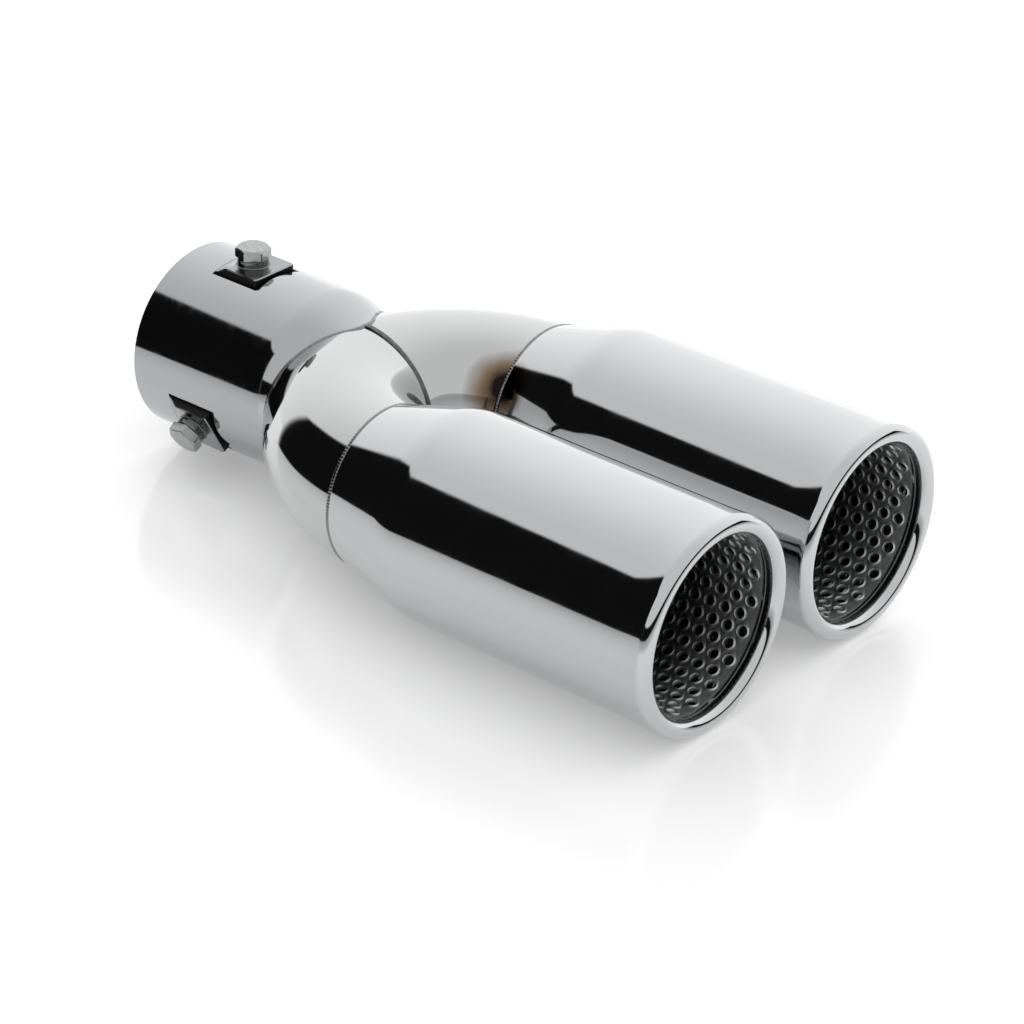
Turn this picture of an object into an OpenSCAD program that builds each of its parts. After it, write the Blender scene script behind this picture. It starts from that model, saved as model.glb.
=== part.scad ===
// Twin outlet exhaust tip with a three bolt inlet clamp, millimetres, lying on its two outlets.
// +X runs from the inlet mouth to the outlets, +Z is up, the origin is the centre of the inlet mouth.

/* [Inlet sleeve] */
// Outside diameter of the tailpipe that the sleeve slips over
pipe_d = 63.5; // [57:0.5:70]
// Radial clearance between the tailpipe and the sleeve
slip_gap = 0.4; // [0.2:0.05:0.8]
// Sheet thickness of the sleeve
sleeve_wall = 1.8; // [1.2:0.1:2.6]
// Length of the sleeve's bore, from its mouth to the swage
bore_l = 57.5; // [52:0.5:80]
// Length of the swage that draws the sleeve down to the branches
swage_l = 8.5; // [7:0.5:12]
// Sheet thickness of the throat, where the swage and the grinding have thinned it
throat_wall = 1; // [0.8:0.1:1.6]

/* [Clamp tongues] */
// Width of a lanced tongue
tongue_w = 20; // [18:0.5:24]
// Length of the flat part of a tongue
tongue_flat_l = 19; // [17:0.5:26]
// Distance from the inlet mouth to the root of a tongue
tongue_root_x = 13; // [8:0.5:14]
// Length over which a tongue rises from the sleeve
tongue_rise_l = 4; // [3:0.5:6]
// Height of a tongue over the crown of the sleeve
tongue_lift = 0.3; // [0.1:0.1:1.5]
// Width of the cut round a tongue
lance_gap = 1.2; // [0.6:0.1:1.8]

/* [Clamp bolts and nuts] */
// Thread diameter of the clamp bolts
bolt_d = 6.4; // [5:0.1:8]
// Width across the flats of the bolt heads
head_af = 11.1; // [10:0.1:14]
// Height of the bolt heads
head_h = 3.9; // [3:0.1:6]
// Outside diameter of the round weld nuts
nut_d = 11; // [10:0.5:13]
// Height of the weld nuts
nut_t = 2.8; // [1.6:0.1:4]
// Radial clearance of the bolts in the nuts
thread_gap = 0.1; // [0.05:0.05:0.3]
// Radial clearance of the bolts in the tongues
hole_gap = 0.3; // [0.2:0.1:0.6]

/* [Branches] */
// Outside diameter of the branch tubes
branch_d = 57.2; // [54:0.2:58]
// Wall thickness of the branch tubes
branch_wall = 1.5; // [1.2:0.1:2]
// Centreline radius of the bends
bend_r = 57; // [54:0.5:60]
// Angle that a bend stops short of parallel
bend_short_deg = 8; // [4:1:12]

/* [Outlets] */
// Gap between the two barrels
outlet_gap = 9.6; // [8:0.2:14]
// Outside diameter of the outlet barrels
barrel_d = 73.4; // [70:0.2:75]
// Sheet thickness of the barrels
barrel_wall = 1.2; // [1:0.1:1.6]
// Length of a barrel from the neck weld to the front of its lip
barrel_l = 138.5; // [110:0.5:180]
// Length of the cone neck
neck_l = 29; // [24:0.5:36]
// Radius of the shoulder between neck and barrel
shoulder_r = 32; // [20:1:34]
// How far the rolled lip stands proud of the barrel
lip_proud = 1.3; // [0.4:0.1:2.5]
// Half width of the roll of the lip, seen from the front
roll_r = 3.7; // [3:0.1:4.4]
// Length of the roll of the lip ahead of its widest point
roll_l = 3; // [2.4:0.1:4.4]

/* [Perforated liners] */
// Sheet thickness of the liners
liner_wall = 1; // [0.8:0.1:1.4]
// Hole diameter of the perforated sheet
hole_d = 3.5; // [2.5:0.1:4]
// Holes round the liner in one ring
holes_round = 19; // [15:1:21]
// Rings of holes counted from the mouth
hole_rings = 12; // [2:1:14]

/* [Welds] */
// Width of the gap that a butt weld fills
weld_w = 1; // [0.8:0.1:2.4]
// Height of a weld bead over the tube
bead_h = 0.2; // [0.1:0.05:0.8]
// Reach of the seam beads over the tubes
seam_reach = 0.6; // [0.3:0.1:1.2]
// Width of the saddle seam
saddle_w = 1.8; // [1:0.1:4]

/* [Hidden] */
$fn = 96;

// Small clearance between pieces that seat in each other
seat_gap = 0.05;
// Overshoot of every cutting solid
over = 1;
// How far the outside of a branch is turned out from the sleeve's axis at its root
root_turnout = 1.3;
// Turn about X of the top, right and left clamp
TOP = 0;
RIGHT = 120;
LEFT = 240;

sleeve_ir = pipe_d / 2 + slip_gap;
sleeve_or = sleeve_ir + sleeve_wall;

// Tongue heights over the sleeve axis
tongue_z = sleeve_ir + tongue_lift;
tongue_top = tongue_z + sleeve_wall;
tongue_flat_x = tongue_root_x + tongue_rise_l;
tongue_end_x = tongue_flat_x + tongue_flat_l;
bolt_x = tongue_flat_x + 0.45 * tongue_flat_l;
window_x = tongue_root_x + 0.85 * tongue_rise_l;

branch_r = branch_d / 2;
branch_ir = branch_r - branch_wall;

// The swage draws the sleeve down to a throat that fits over the branches
throat_ir = branch_r + 2 * seat_gap;
throat_or = throat_ir + throat_wall;
throat_x = bore_l + swage_l;

// Bend centre of a branch: its mirror image serves the other side
outlet_spacing = barrel_d + outlet_gap;
bend_y = outlet_spacing / 2 - bend_r * cos(bend_short_deg);
root_x = bore_l + 3;
bend_x = root_x + sqrt(pow(bend_r + branch_r, 2) - pow(branch_r + root_turnout - bend_y, 2));
neck_x = bend_x - bend_r * sin(bend_short_deg);
// The throat ends where the crowns of the two branches meet on the middle plane
throat_end_x = bend_x - sqrt(pow(bend_r, 2) - pow(bend_y, 2));

barrel_r = barrel_d / 2;
roll_x = barrel_l - roll_l;
roll_axis_r = barrel_r + lip_proud - roll_r;
neck_slope = atan((barrel_r - branch_r) / neck_l);
shoulder_tangent = shoulder_r * tan(neck_slope / 2);

// The liner runs from its seat in the cone neck to the back of the rolled lip
liner_clear = 0.4;
// Land between the front edge of a liner and its first holes
liner_margin = 0.4;
// Turn of the first ring of holes
hole_phase = 6.7;
liner_ir = roll_axis_r - roll_r + liner_clear;
liner_or = liner_ir + liner_wall;
liner_seat = (liner_or + seat_gap + barrel_wall / cos(neck_slope) - branch_r) / tan(neck_slope);
liner_x0 = max(liner_seat, seat_gap) + weld_w / 2;
liner_x1 = roll_x - roll_l * sqrt(1 - pow((roll_axis_r - liner_or) / roll_r, 2)) - seat_gap;
hole_pitch = 2 * PI * (liner_ir + liner_wall / 2) / holes_round / sqrt(3);
ring_step = hole_pitch / 2;

// Turns a solid that stands on Z to lie along +X
module along_x() {
    rotate([0, 90, 0]) children();
}

// Places a left hand piece, or mirrors it for the right side
module side(left) {
    if (left) children();
    else mirror([0, 1, 0]) children();
}

// Moves a solid of revolution to the left outlet axis, starting at the neck weld
module at_left_outlet() {
    translate([neck_x, outlet_spacing / 2, 0]) along_x() children();
}

// One clamp tongue seen from the side and swept across its width, hollowed by the bore
module tongue() {
    foot = sleeve_ir - tongue_w / 4;
    difference() {
        translate([0, tongue_w / 2, 0]) rotate([90, 0, 0]) linear_extrude(tongue_w)
            polygon([
                [tongue_root_x, foot],
                [tongue_root_x, sleeve_ir],
                [tongue_flat_x, tongue_top],
                [tongue_end_x, tongue_top],
                [tongue_end_x, tongue_z],
                [window_x + tongue_lift, tongue_z],
                [window_x, foot]
            ]);
        along_x() cylinder(h = bore_l, r = sleeve_ir + tongue_lift / 2);
    }
}

// The window that the lance leaves round a tongue
module tongue_window() {
    w = tongue_w + 2 * lance_gap;
    translate([window_x, -w / 2, 0]) cube([tongue_end_x + lance_gap - window_x, w, tongue_top + over]);
}

module bolt_hole() {
    translate([bolt_x, 0, tongue_z - over]) cylinder(h = sleeve_wall + 2 * over, r = bolt_d / 2 + hole_gap);
}

// Radius of the two equal arcs that lead from radius r0 to r1 over the length of the swage
function swage_r(r0, r1) = (pow(swage_l, 2) + pow(r0 - r1, 2)) / abs(r0 - r1) / 4;

// Radius and height points along a swage or a flare from radius r0 to r1
function swage_line(r0, r1) = let (
    r = swage_r(r0, r1),
    way = r0 > r1 ? 1 : -1,
    steep = asin(swage_l / 2 / r)
) concat(
    [for (i = [0:6]) [r0 - way * r * (1 - cos(steep * i / 6)), bore_l + r * sin(steep * i / 6)]],
    [for (i = [5:-1:0]) [r1 + way * r * (1 - cos(steep * i / 6)), throat_x - r * sin(steep * i / 6)]]
);

// Filled half section of a sleeve that leads to its throat in short steps
module stepped_area(r0, r1, end) {
    polygon(concat([[0, 0], [r0, 0]], swage_line(r0, r1), [[r1, end], [0, end]]));
}

// Filled half section of a sleeve that is drawn down to its throat by two arcs
module swaged_area(r0, r1, end) {
    r = swage_r(r0, r1);
    square([r0, bore_l]);
    translate([0, bore_l]) square([r1 - over, end - bore_l]);
    intersection() {
        translate([r0 - r, bore_l]) circle(r);
        translate([r1 - over, bore_l]) square([r0 - r1 + 2 * over, swage_l / 2]);
    }
    difference() {
        translate([r1 - over, bore_l + swage_l / 2]) square([(r0 - r1) / 2 + over, swage_l / 2]);
        translate([r1 + r, throat_x]) circle(r);
    }
    translate([0, throat_x]) square([r1, end - throat_x]);
}

// Filled half section of the sleeve and throat from radius r0 to r1, up to the height end
module sleeve_area(r0, r1, end) {
    if (r0 > r1) swaged_area(r0, r1, end);
    else stepped_area(r0, r1, end);
}

// Solid torus bend of the left branch, r thick, from the neck back past the middle plane
module bend(r) {
    translate([bend_x, bend_y, 0]) rotate([0, 0, 90]) rotate_extrude(angle = 88)
        translate([bend_r, 0]) circle(r);
}

module both_bends(r) {
    side(true) bend(r);
    side(false) bend(r);
}

// Sleeve with three tongues lanced out of its wall, swaged down to a throat that is trimmed over the two elbows
module inlet_sleeve() {
    color("gainsboro") union() {
        difference() {
            along_x() rotate_extrude() difference() {
                sleeve_area(sleeve_or, throat_or, throat_end_x);
                stepped_area(sleeve_ir, throat_ir, throat_end_x + over);
                translate([0, -over]) square([sleeve_ir, 2 * over]);
            }
            both_bends(branch_r + seat_gap);
            for (a = [TOP, RIGHT, LEFT]) rotate([a, 0, 0]) tongue_window();
        }
        for (a = [TOP, RIGHT, LEFT]) rotate([a, 0, 0]) difference() {
            tongue();
            bolt_hole();
        }
    }
}

// Tight elbow, cut on the middle plane, at its root and at the neck weld
module branch(left) {
    l = neck_x - weld_w / 2 - root_x;
    color("silver") side(left) intersection() {
        difference() {
            bend(branch_r);
            bend(branch_ir);
        }
        translate([root_x, 0, -2 * branch_r]) cube([l, outlet_spacing + branch_d, 4 * branch_r]);
    }
}

// Bead that follows the trimmed edge of the throat over both elbows
module throat_weld() {
    color("darkgray") for (left = [true, false]) side(left) difference() {
        intersection() {
            along_x() rotate_extrude() difference() {
                polygon(concat(swage_line(sleeve_or + seam_reach, throat_or + seam_reach), [
                    [throat_or + seam_reach, throat_end_x + seam_reach],
                    [0, throat_end_x + seam_reach],
                    [0, bore_l]
                ]));
                polygon(concat(swage_line(sleeve_or, throat_or), [
                    [throat_or, throat_end_x],
                    [0, throat_end_x],
                    [0, bore_l]
                ]));
            }
            bend(branch_r + seam_reach);
            translate([bore_l, 0, -sleeve_or]) cube([swage_l + branch_r, sleeve_or, 2 * sleeve_or]);
        }
        bend(branch_r);
    }
}

// V seam where the elbows meet on the middle plane
module saddle_weld() {
    x0 = throat_end_x + seam_reach;
    color("dimgray") difference() {
        intersection() {
            side(true) bend(branch_r + seam_reach);
            side(false) bend(branch_r + seam_reach);
            translate([x0, -saddle_w / 2, -branch_d]) cube([bend_x - x0, saddle_w, 2 * branch_d]);
        }
        both_bends(branch_r);
    }
}

// Butt weld between an elbow and its outlet
module neck_weld(left) {
    color("darkgray") side(left) at_left_outlet() rotate_extrude() {
        translate([branch_ir, -weld_w / 2]) square([branch_wall, weld_w]);
        translate([branch_r, 0]) scale([2 * bead_h / weld_w, 1]) circle(weld_w / 2, $fn = 48);
    }
}

// Radius and height points along the wall of a barrel, k inside its outer face
function barrel_line(k) = concat(
    [[branch_r - k / cos(neck_slope) + weld_w / 2 * tan(neck_slope), weld_w / 2]],
    [for (i = [0:8]) let (a = neck_slope * (1 - i / 8))
        [barrel_r - shoulder_r + (shoulder_r - k) * cos(a),
         neck_l + shoulder_tangent - (shoulder_r - k) * sin(a)]],
    [[barrel_r - k, roll_x]]
);

// Half oval of the roll of the lip, t inside its outer face
module roll_oval(t) {
    translate([roll_axis_r, roll_x]) scale([1, (roll_l - t) / (roll_r - t)]) circle(roll_r - t, $fn = 64);
}

// Section of the rolled lip: a tube of sheet, left open at the back where the curl ends
module lip_section() {
    difference() {
        roll_oval(0);
        roll_oval(barrel_wall);
        translate([roll_axis_r - roll_r / 2, roll_x - 2 * roll_r])
            square([barrel_r - barrel_wall - roll_axis_r + roll_r / 2, 2 * roll_r]);
    }
}

// Cone neck, shoulder, cylinder and rolled lip in one drawn piece
module barrel(left) {
    outer = barrel_line(0);
    inner = barrel_line(barrel_wall);
    n = len(inner) - 1;
    color("gainsboro") side(left) at_left_outlet() rotate_extrude() {
        polygon(concat(outer, [for (i = [n:-1:0]) inner[i]]));
        lip_section();
    }
}

// Staggered rings of round holes, counted from the front edge
module liner_holes() {
    for (j = [0:hole_rings - 1], i = [0:holes_round - 1])
        translate([0, 0, liner_x1 - hole_d / 2 - liner_margin - j * ring_step])
            rotate([0, 0, hole_phase + (i + (j % 2) / 2) * 360 / holes_round]) translate([liner_ir - over, 0, 0])
                along_x() cylinder(h = liner_wall + 2 * over, r = hole_d / 2);
}

// Perforated tube that lies inside a barrel
module liner(left) {
    color([0.08, 0.08, 0.09]) side(left) at_left_outlet() difference() {
        translate([0, 0, liner_x0]) cylinder(h = liner_x1 - liner_x0, r = liner_or);
        translate([0, 0, liner_x0 - over]) cylinder(h = liner_x1 - liner_x0 + 2 * over, r = liner_ir);
        liner_holes();
    }
}

// Hex head bolt, its tip level with the bore
module clamp_bolt(turn) {
    seat = tongue_top + nut_t;
    color("lightgray") rotate([turn, 0, 0]) translate([bolt_x, 0, 0]) {
        translate([0, 0, sleeve_ir]) cylinder(h = seat - sleeve_ir, r = bolt_d / 2);
        intersection() {
            translate([0, 0, seat]) cylinder(h = head_h, r = head_af / 2 / cos(30), $fn = 6);
            translate([0, 0, seat]) cylinder(h = head_h, r1 = head_af / 2 + head_h, r2 = head_af / 2);
        }
    }
}

// Round weld nut on a tongue
module clamp_nut(turn) {
    color("gray") rotate([turn, 0, 0]) translate([bolt_x, 0, tongue_top]) difference() {
        cylinder(h = nut_t, r = nut_d / 2);
        translate([0, 0, -over]) cylinder(h = nut_t + 2 * over, r = bolt_d / 2 + thread_gap);
    }
}

inlet_sleeve();
branch(true);  // left_branch
branch(false);  // right_branch
throat_weld();
saddle_weld();
neck_weld(true);  // left_neck_weld
neck_weld(false);  // right_neck_weld
barrel(true);  // left_barrel
barrel(false);  // right_barrel
liner(true);  // left_liner
liner(false);  // right_liner
clamp_bolt(TOP);  // top_bolt
clamp_bolt(RIGHT);  // right_bolt
clamp_bolt(LEFT);  // left_bolt
clamp_nut(TOP);  // top_nut
clamp_nut(RIGHT);  // right_nut
clamp_nut(LEFT);  // left_nut
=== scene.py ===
"""Twin exhaust tip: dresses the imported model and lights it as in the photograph.

Sizes are millimetres in the row frame until they reach a mesh: +X from the inlet mouth to the outlets, +Z up.
"""

import logging
from dataclasses import dataclass
from enum import Enum

import bpy
import numpy as np
from mathutils import Matrix


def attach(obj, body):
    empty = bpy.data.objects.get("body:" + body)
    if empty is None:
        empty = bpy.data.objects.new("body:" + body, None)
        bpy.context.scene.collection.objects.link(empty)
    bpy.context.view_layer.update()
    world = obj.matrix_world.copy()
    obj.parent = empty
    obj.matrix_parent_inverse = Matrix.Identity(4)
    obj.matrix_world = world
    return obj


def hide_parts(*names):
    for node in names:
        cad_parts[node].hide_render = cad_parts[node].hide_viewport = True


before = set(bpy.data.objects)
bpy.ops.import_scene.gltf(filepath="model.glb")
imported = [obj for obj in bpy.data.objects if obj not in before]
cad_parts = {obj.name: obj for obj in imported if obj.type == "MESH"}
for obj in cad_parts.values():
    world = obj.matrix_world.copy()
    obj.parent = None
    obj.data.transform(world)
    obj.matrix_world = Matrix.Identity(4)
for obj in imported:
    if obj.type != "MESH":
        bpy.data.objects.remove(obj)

LOG = logging.getLogger("exhaust_tip")
MM = 0.001
TURN = 2 * np.pi


class Side(Enum):
    """Which outlet a piece belongs to, with the sign of its Y."""

    LEFT = 1
    RIGHT = -1

    @property
    def word(self) -> str:
        """The side's name as the CAD nodes spell it."""
        return self.name.lower()


def linear(hex_colour: str) -> tuple[float, float, float, float]:
    """Turns an sRGB hex colour to linear light.

    Args:
        hex_colour: Six hex digits, such as "E6E3DE".

    Returns:
        Red, green, blue and an alpha of one.
    """
    srgb = np.array([int(hex_colour[i:i + 2], 16) / 255 for i in (0, 2, 4)])
    low = srgb / 12.92
    high = ((srgb + 0.055) / 1.055) ** 2.4
    return (*np.where(srgb <= 0.04045, low, high).tolist(), 1.0)


def add(tree: bpy.types.NodeTree, kind: str, settings: dict | None = None,
        links: dict | None = None) -> bpy.types.Node:
    """Adds a node with its settings and links.

    Args:
        tree: The node tree that takes the node.
        kind: The node's type, such as "ShaderNodeMath".
        settings: Attribute or input names (input numbers also) and their values.
        links: Input names or numbers and the output sockets that feed them.

    Returns:
        The new node.
    """
    node = tree.nodes.new(kind)
    for key, value in (settings or {}).items():
        if isinstance(key, str) and hasattr(node, key):
            setattr(node, key, value)
        else:
            node.inputs[key].default_value = value
    for key, source in (links or {}).items():
        tree.links.new(source, node.inputs[key])
    return node


def maths(tree: bpy.types.NodeTree, operation: str,
          *terms: bpy.types.NodeSocket | float) -> bpy.types.NodeSocket:
    """Adds a sum.

    Args:
        tree: The node tree that takes the node.
        operation: The node's operation.
        *terms: Sockets and plain numbers, in the order of the node's inputs.

    Returns:
        The result.
    """
    plain = {n: term for n, term in enumerate(terms) if isinstance(term, float)}
    links = {n: term for n, term in enumerate(terms) if n not in plain}
    return add(tree, "ShaderNodeMath", {"operation": operation, **plain}, links).outputs["Value"]


def points_at(x: np.ndarray, y: np.ndarray, z: np.ndarray) -> np.ndarray:
    """Points from their coordinates, each spread to the others' shape."""
    return np.stack(np.broadcast_arrays(x, y, z), -1)


def turns(count: int) -> np.ndarray:
    """Equal angles once round, from zero."""
    return np.arange(count) * TURN / count


def ease(value: np.ndarray) -> np.ndarray:
    """Smooth step: none below 0, full above 1, and 3 v^2 - 2 v^3 between them."""
    v = np.clip(value, 0, 1)
    return v ** 2 * (3 - 2 * v)


def merged(points: np.ndarray, quads: np.ndarray) -> tuple[np.ndarray, np.ndarray]:
    """Joins points that lie in the same place, to a thousandth of a millimetre.

    Args:
        points: N by 3, in millimetres.
        quads: M by 4 point numbers.

    Returns:
        The points that stay, and the quads renumbered.
    """
    keys = np.round(points * 1000).astype(np.int64)
    _, first, number = np.unique(keys, axis=0, return_index=True, return_inverse=True)
    return points[first], number.reshape(-1)[quads]


def grid_quads(rows: int, columns: int, close_rows: bool = True, close_columns: bool = True) -> np.ndarray:
    """Numbers the quads of a grid of points.

    Args:
        rows: Points along the first parameter.
        columns: Points along the second parameter.
        close_rows: Joins the last row to the first.
        close_columns: Joins the last column to the first.

    Returns:
        An array of four point numbers a quad, cell (i, j) spanning i to i + 1 and j to j + 1.
    """
    i = np.arange(rows if close_rows else rows - 1)
    j = np.arange(columns if close_columns else columns - 1)
    a, b = np.meshgrid(i, j, indexing="ij")
    a2, b2 = (a + 1) % rows, (b + 1) % columns
    corners = [a * columns + b, a2 * columns + b, a2 * columns + b2, a * columns + b2]
    return np.stack(corners, -1).reshape(-1, 4)


def make_mesh(name: str, points: np.ndarray, quads: np.ndarray, sharp_deg: float = 35.0) -> bpy.types.Object:
    """Puts points and quads into a new mesh object at the origin.

    Args:
        name: The piece's name.
        points: N by 3, in millimetres.
        quads: M by 4 point numbers.
        sharp_deg: Edges that turn more than this stay sharp.

    Returns:
        The linked object, smooth but for its sharp edges.
    """
    mesh = bpy.data.meshes.new(name)
    mesh.vertices.add(len(points))
    mesh.vertices.foreach_set("co", (points.astype(np.float64) * MM).ravel().astype(np.float32))
    mesh.loops.add(quads.size)
    mesh.loops.foreach_set("vertex_index", quads.ravel().astype(np.int32))
    mesh.polygons.add(len(quads))
    mesh.polygons.foreach_set("loop_start", np.arange(0, quads.size, 4, dtype=np.int32))
    mesh.update(calc_edges=True)
    mesh.validate()
    mesh.shade_smooth()
    mesh.set_sharp_from_angle(angle=np.radians(sharp_deg))
    piece = bpy.data.objects.new(name, mesh)
    bpy.context.scene.collection.objects.link(piece)
    return piece


def revolve(profile: np.ndarray, steps: int) -> np.ndarray:
    """Turns a closed profile round the X axis.

    A profile point (x, r) and a turn a give the point (x, r cos a, r sin a).

    Args:
        profile: N by 2, x and radius.
        steps: Points round the axis.

    Returns:
        Steps times N points, the turn running slowest.
    """
    x, r = profile.T
    turn = turns(steps)[:, None]
    return points_at(x, r * np.cos(turn), r * np.sin(turn)).reshape(-1, 3)


def turned(points: np.ndarray, turn_deg: float) -> np.ndarray:
    """Turns points about the X axis.

    Args:
        points: N by 3.
        turn_deg: From +Y towards +Z.

    Returns:
        N by 3.
    """
    a = np.radians(turn_deg)
    x, y, z = points.T
    return points_at(x, y * np.cos(a) - z * np.sin(a), y * np.sin(a) + z * np.cos(a))


class MetalNodes:
    """The node tree of one metal, in Object coordinates, while a finish puts it together."""

    def __init__(self, name: str) -> None:
        """Makes the material, with its shader and its coordinates.

        Args:
            name: The material's name.
        """
        self.material = bpy.data.materials.new(name)
        self.material.use_nodes = True
        self.tree = self.material.node_tree
        self.shader = self.tree.nodes["Principled BSDF"]
        self.shader.inputs["Metallic"].default_value = 1.0
        self.coordinates = add(self.tree, "ShaderNodeTexCoord").outputs
        self.place = self.coordinates["Object"]

    def noise(self, size_mm: float, detail: float, roughness: float = 0.5) -> bpy.types.NodeSocket:
        """A noise whose lumps are size_mm wide."""
        settings = {"Scale": 1 / (size_mm * MM), "Detail": detail, "Roughness": roughness}
        return add(self.tree, "ShaderNodeTexNoise", settings, {"Vector": self.place}).outputs["Fac"]

    def ranged(self, value: bpy.types.NodeSocket, before: tuple[float, float],
               after: tuple[float, float] = (0.0, 1.0)) -> bpy.types.NodeSocket:
        """A value carried from one range to another, and held inside it."""
        settings = {"From Min": before[0], "From Max": before[1], "To Min": after[0], "To Max": after[1]}
        return add(self.tree, "ShaderNodeMapRange", settings, {"Value": value}).outputs["Result"]

    def feed(self, name: str, socket: bpy.types.NodeSocket) -> None:
        """Links a value to the shader's socket of that name."""
        self.tree.links.new(socket, self.shader.inputs[name])

    def dent(self, height: bpy.types.NodeSocket, strength: float, depth_mm: float) -> None:
        """Feeds the shader's normal with waves or grain, depth_mm deep."""
        settings = {"Strength": strength, "Distance": depth_mm * MM}
        self.feed("Normal", add(self.tree, "ShaderNodeBump", settings, {"Height": height}).outputs["Normal"])

    def stain(self, share: bpy.types.NodeSocket, *stops: tuple[float, str]) -> None:
        """Feeds the shader's colour from a ramp.

        Args:
            share: Where on the ramp each place lies.
            *stops: Position and hex colour, the ramp's two ends before the stops between them.
        """
        ramp = add(self.tree, "ShaderNodeValToRGB", None, {"Fac": share})
        marks = ramp.color_ramp.elements
        for number, (position, colour) in enumerate(stops):
            mark = marks[number] if number < 2 else marks.new(position)
            mark.position = position
            mark.color = linear(colour)
        self.feed("Base Color", ramp.outputs["Color"])


@dataclass(frozen=True)
class MirrorStainless:
    """Buffed 304 stainless sheet, drawn and bent: faint waves from the press, a wiped haze and a heat tint.

    The tint lies where the elbow's and the barrel's weld was made, on the side that faces the other elbow.
    """

    name: str = "buffed_stainless"
    steel: str = "C1C2C3"
    straw: str = "7F6C58"
    bronze: str = "1F1917"
    roughness: float = 0.045
    haze: float = 0.05
    haze_mm: float = 11.0
    wave_mm: float = 26.0
    wave_deep_mm: float = 0.25
    cloud_mm: float = 14.0
    tint_centre: tuple[float, float, float] = (127.0, 16.5, 15.0)
    tint_reach: float = 11.0
    core: float = 0.3

    def build(self) -> bpy.types.Material:
        """Makes the node tree.

        The tint's ramp runs with the distance from its centre, made ragged by a cloud noise.

        Returns:
            The material.
        """
        metal = MetalNodes(self.name)
        haze = metal.noise(self.haze_mm, 5.0, 0.6)
        rough = metal.ranged(haze, (0.35, 0.75), (self.roughness, self.roughness + self.haze))
        metal.feed("Roughness", rough)
        metal.dent(metal.noise(self.wave_mm, 1.0), 0.25, self.wave_deep_mm)
        centre = tuple(c * MM for c in self.tint_centre)
        far = add(metal.tree, "ShaderNodeVectorMath", {"operation": "DISTANCE", 1: centre}, {0: metal.place})
        reach = self.tint_reach * MM
        cloud = metal.noise(self.cloud_mm, 3.0)
        ragged = maths(metal.tree, "MULTIPLY_ADD", cloud, 0.5 * reach, far.outputs["Value"])
        share = metal.ranged(ragged, (0.35 * reach, 1.25 * reach))
        metal.stain(share, (self.core, self.bronze), (1.0, self.steel), (0.55, self.straw))
        return metal.material


@dataclass(frozen=True)
class SleeveStainless:
    """Polished 409 tube, darker than the barrels, with its bore and sheared edges left raw and dull, and
    coloured dark as painted shade.
    """

    name: str = "polished_tube_stainless"
    steel: str = "AEAFB1"
    # Painted shade: the dark colour of the bore and the sheared edges.
    raw_and_shade: str = "2E2D2B"
    roughness: float = 0.06
    raw_roughness: float = 0.5
    grain_mm: float = 3.0
    wave_mm: float = 30.0
    wave_deep_mm: float = 0.2

    def build(self) -> bpy.types.Material:
        """Makes the node tree.

        A face is polished where it looks away from the sleeve's axis: the share is its normal times the
        direction from the axis to its place, so the bore, the mouth's edge and the sheared edges stay raw and
        dull, their dark colour painted shade.

        Returns:
            The material.
        """
        metal = MetalNodes(self.name)
        tree = metal.tree
        flat = add(tree, "ShaderNodeVectorMath", {"operation": "MULTIPLY", 1: (0.0, 1.0, 1.0)},
                   {0: metal.place})
        away = add(tree, "ShaderNodeVectorMath", {"operation": "NORMALIZE"}, {0: flat.outputs["Vector"]})
        facing = add(tree, "ShaderNodeVectorMath", {"operation": "DOT_PRODUCT"},
                     {0: away.outputs["Vector"], 1: metal.coordinates["Normal"]})
        skin = metal.ranged(facing.outputs["Value"], (0.4, 0.6))
        # The bore and the sheared edges get the dark colour as painted shade.
        colour = add(tree, "ShaderNodeMix", {"data_type": "RGBA", 6: linear(self.raw_and_shade), 7: linear(self.steel)},
                     {0: skin})
        metal.feed("Base Color", colour.outputs[2])
        grain = metal.noise(self.grain_mm, 5.0)
        fine = metal.ranged(grain, (0.4, 0.7), (self.roughness, self.roughness + 0.05))
        rough = add(tree, "ShaderNodeMapRange", {"To Min": self.raw_roughness},
                    {"Value": skin, "To Max": fine})
        metal.feed("Roughness", rough.outputs["Result"])
        metal.dent(metal.noise(self.wave_mm, 1.0), 0.2, self.wave_deep_mm)
        return metal.material


@dataclass(frozen=True)
class WeldMetal:
    """Stainless filler laid by hand and wire brushed: small ripples, satin where the brush went."""

    name: str = "brushed_weld"
    metal: str = "9C9D9E"
    shade: str = "5E5F60"
    roughness: float = 0.2
    ripple_mm: float = 1.3
    ripple_deep_mm: float = 0.15

    def build(self) -> bpy.types.Material:
        """Makes the node tree.

        Returns:
            The material.
        """
        filler = MetalNodes(self.name)
        filler.shader.inputs["Roughness"].default_value = self.roughness
        ripple = filler.noise(self.ripple_mm, 2.0)
        filler.dent(ripple, 0.5, self.ripple_deep_mm)
        filler.stain(ripple, (0.0, self.shade), (1.0, self.metal))
        return filler.material


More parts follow.
